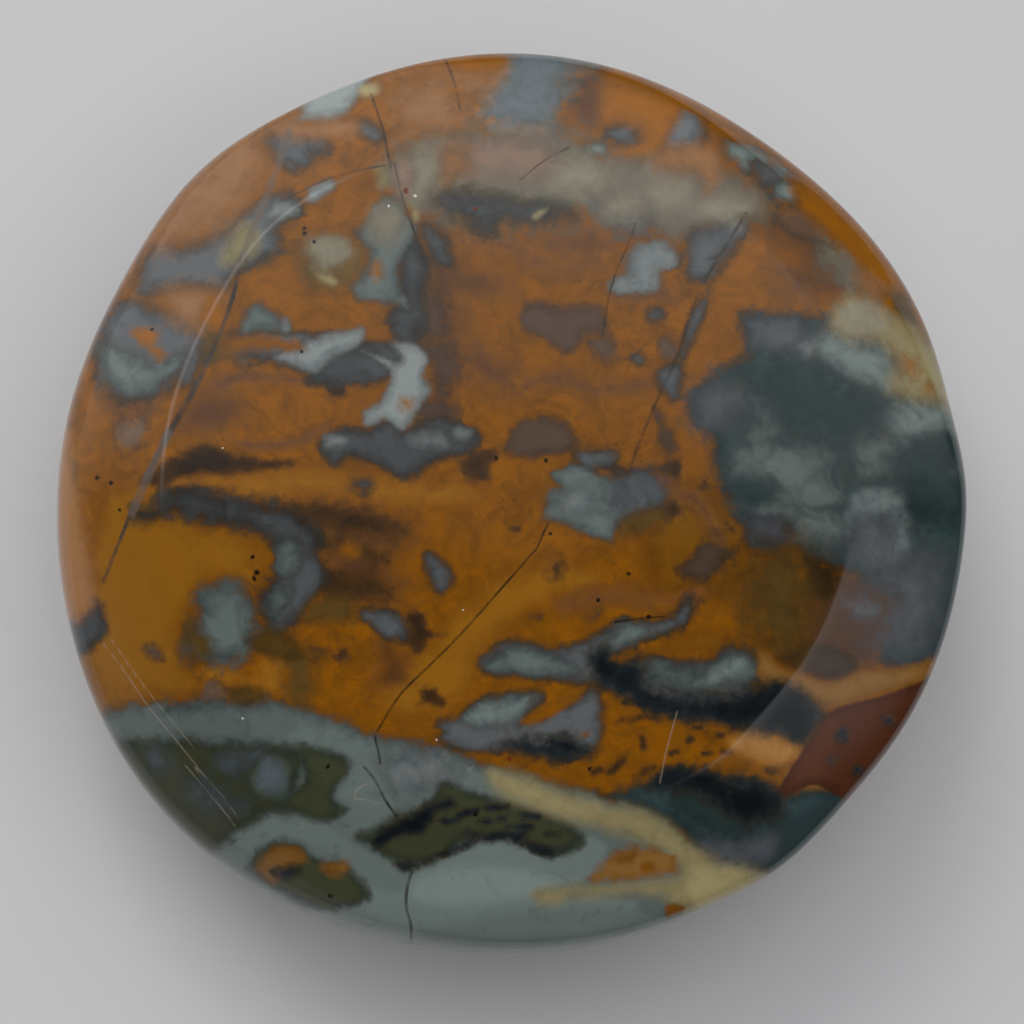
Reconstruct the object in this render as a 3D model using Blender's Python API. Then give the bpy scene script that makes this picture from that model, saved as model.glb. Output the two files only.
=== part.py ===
"""A polished palm stone of morrisonite jasper, at its real size, standing on the small flat spot under it.

The stone is one solid. Its face is a low dome with a wide ground shoulder round it, then a steep bevel down to
the rim. Below the rim it draws in to a flat spot. +X is the stone's right and +Y its far side, with the face up.
"""

import math

import bmesh
import bpy

MM = 0.001

# Driving dimensions in millimetres.
RIM_RADIUS = 22.35
HEIGHT = 14.0
RIM_HEIGHT = 7.6
FLAT_SPOT_RADIUS = 7.4

# Where hand grinding left the rim out of round: (direction in degrees, step outwards in mm, spread in degrees).
RIM_SWELLINGS = (
    (222, 0.94, 22),
    (176, 0.18, 18),
    (155, -0.12, 9),
    (135, 0.34, 8),
    (112, -0.08, 9),
    (53, -0.36, 15),
    (32, 0.20, 13),
    (12, -0.16, 6),
    (2, 0.16, 6),
    (317, -0.20, 8),
    (304, 0.18, 6),
    (295, -0.12, 7),
)

# The crease between the face and the shoulder, as a share of the rim's radius: a circle a little off the axis.
CREASE_MEAN = 0.742
CREASE_SHIFT = 0.033
CREASE_TOWARDS = 147

# The arris between the shoulder and the bevel, as a share of the rim's radius, and where it is ground further in:
# (direction in degrees, step inwards, spread in degrees).
ARRIS = 0.955
ARRIS_CUTS = ((208, 0.035, 22), (40, 0.042, 18))

# How finely the solid is faceted.
DIRECTIONS = 96
STEPS_PER_CORNER = 2


def swelling(direction, centre, spread):
    """A smooth bump, 1 at its centre direction, that fades over about its spread; all in degrees."""
    away = (direction - centre + 180) % 360 - 180
    return math.exp(-0.5 * (away / spread) ** 2)


def rim_radius(direction):
    """The rim's distance from the axis: a circle with the grinder's swellings and flats."""
    return RIM_RADIUS + sum(
        step * swelling(direction, centre, spread) for centre, step, spread in RIM_SWELLINGS
    )


def crease(direction):
    """Where the face ends, furthest from the axis on the far left."""
    return CREASE_MEAN + CREASE_SHIFT * math.cos(math.radians(direction - CREASE_TOWARDS))


def arris(direction):
    """Where the shoulder ends and the steep bevel starts."""
    return ARRIS - sum(step * swelling(direction, centre, spread) for centre, step, spread in ARRIS_CUTS)


def section_corners(direction):
    """The corners of the section towards one direction, from the face's middle to the base's.

    Each is a share of the rim's radius and a height in millimetres. Two close corners keep an edge crisp.
    """
    face_edge = crease(direction)
    bevel = arris(direction)
    spot = FLAT_SPOT_RADIUS / rim_radius(direction)
    return [
        (0.00, HEIGHT),
        (0.30, HEIGHT),
        (0.60, HEIGHT - 0.42),
        (face_edge - 0.02, HEIGHT - 1.00),
        (face_edge + 0.02, HEIGHT - 1.20),
        (bevel - 0.02, HEIGHT - 2.62),
        (bevel + 0.01, HEIGHT - 3.10),
        (0.994, RIM_HEIGHT + 2.0),
        (1.006, RIM_HEIGHT),
        (0.985, RIM_HEIGHT - 1.8),
        (0.930, RIM_HEIGHT - 3.7),
        (0.810, RIM_HEIGHT - 5.4),
        (0.640, RIM_HEIGHT - 6.7),
        (spot + 0.10, RIM_HEIGHT - 7.5),
        (spot + 0.02, 0.0),
        (spot - 0.02, 0.0),
    ]


def rounded_section(corners, steps):
    """The section with each corner rolled off by a parabola between the middles of its two sides."""
    middles = [((a[0] + b[0]) / 2, (a[1] + b[1]) / 2) for a, b in zip(corners, corners[1:])]
    points = []
    for start, corner, end in zip(middles, corners[1:], middles[1:]):
        for step in range(steps):
            t = step / steps
            weights = ((1 - t) ** 2, 2 * t * (1 - t), t * t)
            points.append(tuple(
                sum(w * p[axis] for w, p in zip(weights, (start, corner, end))) for axis in (0, 1)
            ))
    points.append(middles[-1])
    return points


def ring_points():
    """The stone's surface as rings from the face down to the flat spot, in metres."""
    columns = []
    for index in range(DIRECTIONS):
        direction = 360 * index / DIRECTIONS
        angle = math.radians(direction)
        radius = rim_radius(direction) * MM
        section = rounded_section(section_corners(direction), STEPS_PER_CORNER)
        columns.append([
            (share * radius * math.cos(angle), share * radius * math.sin(angle), height * MM)
            for share, height in section
        ])
    return list(zip(*columns))


def build_stone(name, material):
    """One closed mesh: a fan at the top of the dome, strips between the rings and one face for the flat spot."""
    work = bmesh.new()
    rings = [[work.verts.new(point) for point in ring] for ring in ring_points()]
    top = work.verts.new((0, 0, HEIGHT * MM))
    for index in range(DIRECTIONS):
        after = (index + 1) % DIRECTIONS
        work.faces.new((top, rings[0][index], rings[0][after]))
        for upper, lower in zip(rings, rings[1:]):
            work.faces.new((upper[index], lower[index], lower[after], upper[after]))
    work.faces.new(list(reversed(rings[-1])))
    mesh = bpy.data.meshes.new(name)
    work.to_mesh(mesh)
    work.free()
    mesh.materials.append(material)
    mesh.shade_smooth()
    mesh.set_sharp_from_angle(angle=math.radians(25))
    stone = bpy.data.objects.new(name, mesh)
    bpy.context.scene.collection.objects.link(stone)
    return stone


def polished_jasper():
    """Ochre jasper with a high polish."""
    material = bpy.data.materials.new("polished_jasper")
    material.use_nodes = True
    shader = material.node_tree.nodes["Principled BSDF"]
    shader.inputs["Base Color"].default_value = (0.42, 0.17, 0.03, 1)
    shader.inputs["Roughness"].default_value = 0.12
    shader.inputs["Metallic"].default_value = 0.0
    return material


for leftover in list(bpy.data.objects):
    bpy.data.objects.remove(leftover)
build_stone("jasper_stone", polished_jasper())
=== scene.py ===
# %% [markdown]
# A polished palm stone of morrisonite jasper. The stone is one piece, so this lesson has one piece to make: a
# closed surface worked out with numpy, and one finish that carries every marking of the stone. Picture jasper
# is mud and ash that silica soaked and cemented, and its pictures are clouds, islands and veins of a few
# minerals. Each mineral is drawn here as a family of outlines, and the finish gives each family its colour
# and its edge.

import bpy
import numpy as np
from mathutils import Matrix, Vector


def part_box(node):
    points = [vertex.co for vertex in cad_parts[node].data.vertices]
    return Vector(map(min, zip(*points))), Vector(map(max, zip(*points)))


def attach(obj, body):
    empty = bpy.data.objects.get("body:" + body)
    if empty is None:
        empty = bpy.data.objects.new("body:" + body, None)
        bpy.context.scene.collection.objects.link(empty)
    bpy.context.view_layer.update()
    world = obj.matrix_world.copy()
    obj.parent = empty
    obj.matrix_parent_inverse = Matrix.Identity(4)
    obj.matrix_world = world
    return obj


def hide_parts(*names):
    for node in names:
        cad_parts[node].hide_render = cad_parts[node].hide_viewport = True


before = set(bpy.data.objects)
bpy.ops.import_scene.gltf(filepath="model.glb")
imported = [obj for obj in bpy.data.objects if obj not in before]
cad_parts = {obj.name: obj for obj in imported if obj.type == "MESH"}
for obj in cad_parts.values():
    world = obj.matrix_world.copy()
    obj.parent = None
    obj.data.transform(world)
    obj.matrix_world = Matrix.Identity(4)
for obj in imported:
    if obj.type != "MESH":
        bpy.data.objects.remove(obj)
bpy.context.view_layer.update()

MM = 0.001

# %% [markdown]
# The camera stands almost straight above the stone, leaning a little towards its lower left. Its place is
# given by two angles of lean, a distance and the point it looks at, in millimetres. The same numbers later
# say where any point of the stone falls in the picture, so the markings can be drawn in picture coordinates.

# %% Camera
LENS = 100
SENSOR = 36
PICTURE = 1024
LEAN = np.radians((5, 7))
DISTANCE = 142.2
LOOK_AT = np.array((-0.25, -0.68, 7.6))


def unit(vector):
    """A vector divided by its length."""
    return vector / np.linalg.norm(vector)


def placed(name, data):
    """A new object that holds a camera, a lamp or a mesh, linked to the scene."""
    thing = bpy.data.objects.new(name, data)
    bpy.context.scene.collection.objects.link(thing)
    return thing


to_camera = unit(np.array((-np.tan(LEAN[0]), -np.tan(LEAN[1]), 1.0)))
EYE = LOOK_AT + DISTANCE * to_camera
RIGHT = unit(np.cross(-to_camera, (0, 1, 0)))
UP = np.cross(RIGHT, -to_camera)
PIXELS_PER_SLOPE = PICTURE * LENS / SENSOR

camera_data = bpy.data.cameras.new("camera")
camera_data.lens = LENS
camera_data.sensor_width = SENSOR
camera = placed("camera", camera_data)
turn = Matrix(np.column_stack((RIGHT, UP, to_camera)).tolist()).to_4x4()
camera.matrix_world = Matrix.Translation(Vector((EYE * MM).tolist())) @ turn
bpy.context.scene.camera = camera


def picture_point(points):
    """Where points in millimetres fall in the picture: the offset from the eye across and up, over depth."""
    offset = points - EYE
    depth = offset @ -to_camera
    across = PICTURE / 2 + PIXELS_PER_SLOPE * (offset @ RIGHT) / depth
    down = PICTURE / 2 - PIXELS_PER_SLOPE * (offset @ UP) / depth
    return np.column_stack((across, down))


print("camera at", (EYE * MM).round(4), "m; pixels per mm", round(PIXELS_PER_SLOPE / DISTANCE, 2))

# %% [markdown]
# The stone stands on a pale table in soft studio light. One wide lamp behind it on its left lights the table
# and throws the soft shadow to the near right, and a larger lamp overhead fills it in. The polish must not
# show either lamp as a hard shape, so both are hidden from reflections: what the polish shows is the studio
# round the stone, which has a step of its own below.

# %% Light and table
FLOOR_SIZE = 3.0
LAMP_AIM = Vector((0, 0, 0.005))


def sheet(name, size):
    """A square sheet at z = 0 centred on the origin."""
    half = size / 2
    mesh = bpy.data.meshes.new(name)
    corners = [(-half, -half, 0), (half, -half, 0), (half, half, 0), (-half, half, 0)]
    mesh.from_pydata(corners, [], [(0, 1, 2, 3)])
    return placed(name, mesh)


def lamp(name, place, width, height, power, colour):
    """An area lamp at a place in metres, turned to face the stone."""
    data = bpy.data.lights.new(name, "AREA")
    data.shape = "RECTANGLE"
    data.size = width
    data.size_y = height
    data.energy = power
    data.color = colour
    thing = placed(name, data)
    thing.location = place
    thing.rotation_euler = (LAMP_AIM - Vector(place)).to_track_quat("-Z", "Y").to_euler()
    return thing


WARM_WHITE = (1.0, 0.985, 0.96)
COOL_WHITE = (0.97, 0.98, 1.0)
key = lamp("key_lamp", (-0.30, 0.62, 0.62), width=0.50, height=0.36, power=2.1, colour=WARM_WHITE)
fill = lamp("fill_lamp", (0.1, -0.1, 1.1), width=1.6, height=1.6, power=5.2, colour=COOL_WHITE)
for soft_lamp in (key, fill):
    soft_lamp.visible_glossy = False
bpy.context.scene.view_settings.view_transform = "Standard"
table = sheet("table", FLOOR_SIZE)
print("lamps of", key.data.energy, "and", fill.data.energy, "W over a table", FLOOR_SIZE, "m wide")

# %% [markdown]
# Node finishes are easier to read as sums than as wires. The class below wraps an output socket, so that
# adding, multiplying or comparing two of them places the Math node that does it. Every other node comes from
# one method that sets the node's settings first and then fills its sockets by name or number.

# %% Shader arithmetic
class Value:
    """A number that varies over the surface. Arithmetic on it adds Math nodes to its node tree."""

    def __init__(self, tree, socket):
        self.tree = tree
        self.socket = socket

    def maths(self, operation, *operands, clamp=False):
        """One Math node on up to three operands, each a Value or a plain number."""
        step = self.tree.nodes.new("ShaderNodeMath")
        step.operation = operation
        step.use_clamp = clamp
        for socket, operand in zip(step.inputs, operands):
            plug(self.tree, socket, operand)
        return Value(self.tree, step.outputs[0])

    def __add__(self, other):
        return self.maths("ADD", self, other)

    def __sub__(self, other):
        return self.maths("SUBTRACT", self, other)

    def __rsub__(self, other):
        return self.maths("SUBTRACT", other, self)

    def __mul__(self, other):
        return self.maths("MULTIPLY", self, other)

    def __truediv__(self, other):
        return self.maths("DIVIDE", self, other)

    def __neg__(self):
        return self * -1

    def __abs__(self):
        return self.maths("ABSOLUTE", self)

    def clamped(self):
        """The value held between 0 and 1."""
        return self.maths("ADD", self, 0, clamp=True)

    __radd__ = __add__
    __rmul__ = __mul__


def plug(tree, socket, value):
    """Links a Value or an output socket to a socket, or sets the socket to a number, colour or vector."""
    source = getattr(value, "socket", value)
    if isinstance(source, bpy.types.NodeSocket):
        tree.links.new(source, socket)
    else:
        socket.default_value = source


class Nodes:
    """A node tree, with the one method that adds a node other than Math to it."""

    def __init__(self, tree):
        self.tree = tree

    def node(self, kind, settings, sockets, output=0):
        """A node of a kind, with its settings made first and its sockets filled after; returns one output."""
        made = self.tree.nodes.new("ShaderNode" + kind)
        for name, value in settings.items():
            setattr(made, name, value)
        for name, value in sockets.items():
            plug(self.tree, made.inputs[name], value)
        return Value(self.tree, made.outputs[output])

    def rise(self, value, start, end):
        """0 below start and 1 above end, smooth between them."""
        sockets = {"Value": value, "From Min": start, "From Max": end}
        return self.node("MapRange", {"interpolation_type": "SMOOTHSTEP"}, sockets)


class Finish(Nodes):
    """A material's nodes and its Principled shader."""

    def __init__(self, name):
        self.material = bpy.data.materials.new(name)
        self.material.use_nodes = True
        super().__init__(self.material.node_tree)
        self.shader = self.tree.nodes["Principled BSDF"]

    def surface(self, **sockets):
        """Fills sockets of the Principled shader; an underscore in a name stands for a space."""
        for name, value in sockets.items():
            plug(self.tree, self.shader.inputs[name.replace("_", " ")], value)


def srgb(*levels):
    """A colour given by its three sRGB levels from 0 to 255, as the linear colour that shaders use.

    A level's share s of 255 becomes ((s + 0.055) / 1.055) ^ 2.4, or s / 12.92 where s is under 0.04045.
    """
    share = np.array(levels) / 255
    linear = np.where(share > 0.04045, ((share + 0.055) / 1.055) ** 2.4, share / 12.92)
    return (*linear.tolist(), 1.0)


# %% [markdown]
# The table is staging and no part of the stone, so it has no pattern: one pale, rather rough finish is enough
# for the soft shadow and for the reflections in the rim.

# %% Table finish
pale_table = Finish("pale_table")
pale_table.surface(Base_Color=(0.74, 0.74, 0.745, 1), Roughness=0.62)
table.data.materials.append(pale_table.material)
print("the table's finish has", len(pale_table.tree.nodes), "nodes")

# %% [markdown]
# What a polish shows is the studio round it, and here the studio is the world's background: a brightness for
# each direction, made of smooth steps. It is dim overhead, so that the face keeps its full colour, and
# brighter low on the left and beyond the far edge, which lays a faint veil on the far half. A direction is an
# arrow of length 1, and a pair of numbers says between which of its parts across, along or up a light comes
# in. The far light grows as 1 - e^(-d / FAR_GROWS), where d is how far past FAR_STARTS the arrow leans away.

# %% Directions, and the low and far light
world = bpy.data.worlds.new("studio")
world.use_nodes = True
bpy.context.scene.world = world
studio = Nodes(world.node_tree)
looking = studio.node("TexCoord", {}, {}, output="Generated")
sideways, towards, upwards = (
    studio.node("SeparateXYZ", {}, {"Vector": looking}, output=axis) for axis in ("X", "Y", "Z")
)

LOW_HEIGHTS = (0.3, 0.7)
LOW_SIDES = (-0.1, 0.5)
LOW_ON_THE_RIGHT = 0.1
low = studio.rise(1 - upwards, *LOW_HEIGHTS)
low = low * (studio.rise(-sideways, *LOW_SIDES) * (1 - LOW_ON_THE_RIGHT) + LOW_ON_THE_RIGHT)

FAR_STARTS = 0.08
FAR_GROWS = 0.20
FAR_LEFT = (0.0, 0.3)
FAR_HEIGHTS = (0.2, 0.6)
GROWTH_BASE = 2.718
beyond = towards.maths("MAXIMUM", towards - FAR_STARTS, 0)
far = 1 - beyond.maths("POWER", GROWTH_BASE, -(beyond / FAR_GROWS))
far = far * studio.rise(upwards + studio.rise(-sideways, *FAR_LEFT), *FAR_HEIGHTS)
print("the low and the far light take", len(studio.tree.nodes), "nodes")

# %% [markdown]
# Two shapes are sharper. A bright panel lights the near right, and its round edge shows there as a pale
# curve. A narrow slit draws the thin line on the crease at the left. Both edges are circles of directions,
# seen from above: the curved shoulder bends them to where they lie on the stone.

# %% The bright panel and the slit
PANEL_RING = (-0.028, 0.150, 0.632)
PANEL_EDGE = (-0.02, 0.02)
PANEL_FADES = (0.05, 0.32)
PANEL_FAR_END = (-0.06, 0.06)
PANEL_NEAR_END = (-0.42, -0.30)
PANEL_LEFT_END = (0.0, 0.1)
SLIT_RING = (0.163, 0.079, 0.620)
SLIT_WIDTH = (0.015, 0.045)
SLIT_RIGHT_END = (0.10, 0.24)
SLIT_NEAR_END = (0.08, 0.22)


def outside_ring(ring):
    """How far a direction lies outside a circle, given by its middle and radius seen from above."""
    middle_across, middle_along, radius = ring
    across = sideways - middle_across
    along = towards - middle_along
    away = across * across + along * along
    return away.maths("SQRT", away) - radius


past_edge = outside_ring(PANEL_RING)
panel = studio.rise(past_edge, *PANEL_EDGE) * (1 - studio.rise(past_edge, *PANEL_FADES))
panel = panel * (1 - studio.rise(towards, *PANEL_FAR_END)) * studio.rise(towards, *PANEL_NEAR_END)
panel = panel * studio.rise(sideways, *PANEL_LEFT_END)
slit = 1 - studio.rise(abs(outside_ring(SLIT_RING)), *SLIT_WIDTH)
slit = slit * studio.rise(-sideways, *SLIT_RIGHT_END) * studio.rise(towards, *SLIT_NEAR_END)
print("with the panel and the slit there are", len(studio.tree.nodes), "nodes")

# %% Brightness of the studio
OVERHEAD_LIGHT = 0.02
LOW_LIGHT = 0.25
FAR_LIGHT = 0.85
PANEL_LIGHT = 0.80
SLIT_LIGHT = 1.5
glow = low * LOW_LIGHT + far * FAR_LIGHT + panel * PANEL_LIGHT + slit * SLIT_LIGHT + OVERHEAD_LIGHT
background = studio.tree.nodes["Background"]
plug(studio.tree, background.inputs["Color"], (*COOL_WHITE, 1))
plug(studio.tree, background.inputs["Strength"], glow)
print("the whole studio has", len(studio.tree.nodes), "nodes")

# %% [markdown]
# The stone's own shape repeats the solid's driving dimensions. A section runs from the middle of the face
# over the crease, the shoulder, the arris and the rim to the flat spot, and every corner of it is rolled off
# by a parabola between the middles of its two sides. The section is carried round the stone while its corners
# and the rim's radius change a little with the direction, as the grinder left them. A swelling or a cut is a
# direction in degrees, a step and a spread in degrees.

# %% Section of the stone
lowest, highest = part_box("jasper_stone")
HEIGHT = (highest.z - lowest.z) / MM
RIM_RADIUS = 22.35
RIM_HEIGHT = 7.6
FLAT_SPOT_RADIUS = 7.4
RIM_SWELLINGS = np.array((
    (222, 0.94, 22), (176, 0.18, 18), (155, -0.12, 9), (135, 0.34, 8), (112, -0.08, 9), (53, -0.36, 15),
    (32, 0.20, 13), (12, -0.16, 6), (2, 0.16, 6), (317, -0.20, 8), (304, 0.18, 6), (295, -0.12, 7),
))
CREASE_MEAN = 0.742
CREASE_SHIFT = 0.033
CREASE_TOWARDS = 147
FACE_SLOPE = 0.17
SHOULDER_SLOPE = 0.28
ARRIS = 0.975
ARRIS_CUTS = np.array(((208, 0.055, 24), (158, 0.022, 18), (40, 0.060, 18)))
FACE_FLAT = 0.30
FACE_BENDS = 0.60
FACE_FALL = 0.42


def swellings(direction, bumps):
    """The sum of bumps, each step * exp(-(angle away / spread)^2 / 2), at directions in degrees."""
    centre, step, spread = bumps.T[:, :, None]
    away = (direction - centre + 180) % 360 - 180
    return (step * np.exp(-0.5 * (away / spread) ** 2)).sum(0)


print("the stone is", round(HEIGHT, 2), "mm high, with a rim of radius", RIM_RADIUS, "mm before it swells")

# %% Corners of the section
# A corner is a share of the rim's radius and a step of height in millimetres. Round the crease it has a slope
# in place of the step. The steps are from the top round the arris, from the rim's height round the rim, and
# from the floor round the flat spot.
ROUND_THE_CREASE = (
    (-0.02, FACE_SLOPE), (-0.004, FACE_SLOPE), (0.004, SHOULDER_SLOPE), (0.02, SHOULDER_SLOPE),
)
ROUND_THE_ARRIS = ((-0.02, -2.62), (0.01, -3.10))
ROUND_THE_RIM = ((0.994, 2.3), (1.006, 0), (0.985, -1.8), (0.930, -3.7), (0.810, -5.4), (0.640, -6.7))
ROUND_THE_SPOT = ((0.10, 0.1), (0.02, 0), (-0.02, 0))


def section_corners(direction):
    """The corners of the section towards each direction, as arrays of radius and height in millimetres.

    The face falls by FACE_FALL to where it bends, and on at FACE_SLOPE to the crease. The corners round the
    crease lie on the two slopes that meet in it.
    """
    rim = RIM_RADIUS + swellings(direction, RIM_SWELLINGS)
    crease = CREASE_MEAN + CREASE_SHIFT * np.cos(np.radians(direction - CREASE_TOWARDS))
    arris = ARRIS - swellings(direction, ARRIS_CUTS)
    spot = FLAT_SPOT_RADIUS / rim
    crease_height = HEIGHT - (FACE_FALL + FACE_SLOPE * (crease - FACE_BENDS) * RIM_RADIUS)
    corners = [(0, HEIGHT), (FACE_FLAT, HEIGHT), (FACE_BENDS, HEIGHT - FACE_FALL)]
    for away, slope in ROUND_THE_CREASE:
        corners.append((crease + away, crease_height - away * slope * RIM_RADIUS))
    corners += [(arris + away, HEIGHT + step) for away, step in ROUND_THE_ARRIS]
    corners += [(share, RIM_HEIGHT + step) for share, step in ROUND_THE_RIM]
    corners += [(spot + away, height) for away, height in ROUND_THE_SPOT]
    corners.append((0, 0))
    shares = np.array([np.broadcast_to(share, direction.shape) for share, height in corners])
    heights = np.array([np.full(direction.shape, height) for share, height in corners])
    return shares * rim, heights


LAST = len(section_corners(np.zeros(1))[0]) - 1
print("the section has", LAST + 1, "corners")

# %% The section's curve
def section_point(direction, way):
    """The radius and height at a way along the section, 0 at the face's middle and LAST at the base's.

    The ways k and k + 1 are joined by the parabola (1 - t)^2 a + 2 t (1 - t) c + t^2 b. There c is corner k,
    and a and b are the middles of the two sides that meet in it. The first and last stretch are straight.
    """
    step = np.minimum(way.astype(int), LAST - 1)
    t = way - step
    point = []
    for corners in section_corners(direction):
        ends = np.concatenate((corners[:1], (corners[:-2] + corners[1:-1]) / 2, corners[-1:]))
        controls = np.concatenate(((ends[:1] + ends[1:2]) / 2, corners[1:-2], (ends[-2:-1] + ends[-1:]) / 2))
        before = np.take_along_axis(ends, step[None], 0)[0]
        control = np.take_along_axis(controls, step[None], 0)[0]
        after = np.take_along_axis(ends, step[None] + 1, 0)[0]
        point.append((1 - t) ** 2 * before + 2 * t * (1 - t) * control + t ** 2 * after)
    return point


# %% Lengths along the section
FAR_SIDE = 90.0
STEPS_PER_CORNER = 100
SECTION_WAYS = np.linspace(0, LAST, STEPS_PER_CORNER * LAST + 1)
SECTION_POINTS = section_point(np.full(len(SECTION_WAYS), FAR_SIDE), SECTION_WAYS)
SECTION_STEP = np.hypot(*np.diff(SECTION_POINTS, axis=1))
SECTION_LENGTHS = np.concatenate(((0,), np.cumsum(SECTION_STEP)))
RIM_WAY = SECTION_WAYS[np.argmax(SECTION_POINTS[0])]
ARRIS_WAY = 8


def length_to(way):
    """The length in millimetres along the far side's section from the face's middle to a way."""
    return np.interp(way, SECTION_WAYS, SECTION_LENGTHS)


def way_at(length):
    """The way that lies a length in millimetres along the section."""
    return np.interp(length, SECTION_LENGTHS, SECTION_WAYS)


print("the section is", round(SECTION_LENGTHS[-1], 1), "mm long; the rim is at way", round(RIM_WAY, 2))

# %% [markdown]
# Above the rim the stone is seen from straight above, so its grid is a square pressed into a disk: a point of
# the square with its larger coordinate r and the smaller one s goes to the radius r and the angle 45 s / r
# degrees. Such a grid has no crowded pole. Below the rim, rings with half as many columns run down to the
# base.

# %% The stone's grid
GRID = 265
COLUMNS = 2 * (GRID - 1)
RINGS = 50


def disk_grid(count):
    """The distance from the middle, 0 to 1, and the direction in degrees of each point of a square grid."""
    line = np.linspace(-1, 1, count)
    across, up = (side.ravel() for side in np.meshgrid(line, line))
    sideways = np.abs(across) >= np.abs(up)
    larger = np.where(sideways, across, up)
    smaller = np.where(sideways, up, across)
    turned = 45 * smaller / np.where(larger == 0, 1, larger)
    direction = np.where(sideways, turned, 90 - turned) + np.where(larger < 0, 180, 0)
    return np.abs(larger), direction % 360


def stone_grid():
    """The direction and way of every point, then the faces as triangles, upper grid first and rings after."""
    distance, direction = disk_grid(GRID)
    way = way_at(distance * length_to(RIM_WAY))
    ring_lengths = np.linspace(length_to(RIM_WAY), SECTION_LENGTHS[-1], RINGS + 2)[1:-1]
    ring_direction = np.tile(np.arange(COLUMNS) * 360 / COLUMNS, RINGS)
    direction = np.concatenate((direction, ring_direction, (0.0,)))
    way = np.concatenate((way, np.repeat(way_at(ring_lengths), COLUMNS), (LAST,)))

    cell = (np.arange(GRID - 1)[:, None] * GRID + np.arange(GRID - 1)).ravel()
    half = (GRID - 1) // 2
    outwards_up = (cell // GRID < half) == (cell % GRID < half)
    plain, crossed = cell[outwards_up], cell[~outwards_up]
    edge = np.flatnonzero(distance == 1)
    edge = edge[np.argsort(np.round(direction[edge], 6))]
    rings = GRID ** 2 + np.arange(RINGS * COLUMNS).reshape(RINGS, COLUMNS)
    after = np.roll(rings, -1, 1)
    middle = GRID ** 2 + RINGS * COLUMNS
    even, odd, next_even = edge[0::2], edge[1::2], np.roll(edge[0::2], -1)
    triangles = [
        (plain, plain + 1, plain + GRID + 1), (plain, plain + GRID + 1, plain + GRID),
        (crossed, crossed + 1, crossed + GRID), (crossed + 1, crossed + GRID + 1, crossed + GRID),
        (even, rings[0], odd), (odd, rings[0], after[0]), (odd, after[0], next_even),
        (rings[:-1], rings[1:], after[1:]), (rings[:-1], after[1:], after[:-1]),
        (rings[-1], np.full(COLUMNS, middle), after[-1]),
    ]
    return direction, way, np.concatenate([np.stack([c.ravel() for c in corner], 1) for corner in triangles])


# %% The stone's mesh
direction, way, triangles = stone_grid()
turned = np.radians(direction)


def around(radius, height):
    """The points (r cos a, r sin a, h) with each point's direction a, for a radius r and a height h."""
    height = np.broadcast_to(height, turned.shape)
    return np.column_stack((radius * np.cos(turned), radius * np.sin(turned), height))


points = around(*section_point(direction, way))
mesh = bpy.data.meshes.new("jasper")
mesh.vertices.add(len(points))
mesh.vertices.foreach_set("co", (points * MM).ravel())
mesh.loops.add(triangles.size)
mesh.loops.foreach_set("vertex_index", triangles.ravel())
mesh.polygons.add(len(triangles))
mesh.polygons.foreach_set("loop_start", np.arange(0, triangles.size, 3))
mesh.update(calc_edges=True)
mesh.validate()
mesh.shade_smooth()
stone = placed("jasper", mesh)
print("the stone has", len(points), "points and", len(triangles), "triangles")

# %% [markdown]
# The markings are drawn in picture coordinates, the pixels of a 1024 x 1024 picture taken from the camera. A
# line of a drawing is one outline: how soft its edge is in pixels, how many stops lighter than its mineral it
# is, and then its corners, which a Catmull-Rom curve rounds into a closed line. A long outline goes on in
# indented lines, and outlines may run off the stone's edge. They are kept in the order in which the minerals
# lie over each other, the golden mud at the bottom.

# %% Minerals, from the ground up
MINERALS = {}


def lines_of(drawing):
    """The lines of a drawing, each with the indented lines that follow it."""
    return drawing.strip().replace("\n    ", " ").splitlines()


def places_of(words):
    """The corners written as x,y as an array."""
    return np.array([word.split(",") for word in words], float)


def mineral(name, light, deep, edge, ragged, drawing, halo=0):
    """Keeps a mineral's two colours, its edge's width and raggedness, how dark its halo is, and its outlines.

    Each line of the drawing is one outline: its softness in pixels, its lightness in stops, then its corners.
    """
    outlines = []
    for line in lines_of(drawing):
        softness, lightness, *corners = line.split()
        outlines.append((float(softness), float(lightness), places_of(corners)))
    MINERALS[name] = (srgb(*light), srgb(*deep), edge, ragged, halo, outlines)
    print(name.replace("_", " "), "has", len(outlines), "outlines")


# %% Golden and brown mud
mineral("golden_mud", light=(132, 86, 18), deep=(112, 67, 14), edge=1.9, ragged=1.2, drawing="""
9 0 95,505 130,480 162,500 200,524 240,526 262,545 262,580 250,590 215,583 200,600 185,640 190,660 200,690
    170,702 130,708 95,712 80,640
7 0.2 165,482 190,473 235,474 300,468 380,474 430,482 470,484 480,500 440,505 380,506 320,496 260,500 215,490
    180,492
6 0.3 195,672 205,663 220,660 235,668 250,675 258,660 262,652 275,660 288,655 285,690 292,698 262,692 235,690
    205,682
8 0.1 380,690 430,640 470,600 500,575 560,560 600,580 560,600 520,620 490,650 470,690 430,720 390,715
16 -0.45 640,500 700,480 755,520 745,590 700,600 650,580
8 -0.3 640,655 690,630 740,640 765,660 800,676 770,690 740,655 700,652 660,654
""")

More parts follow.
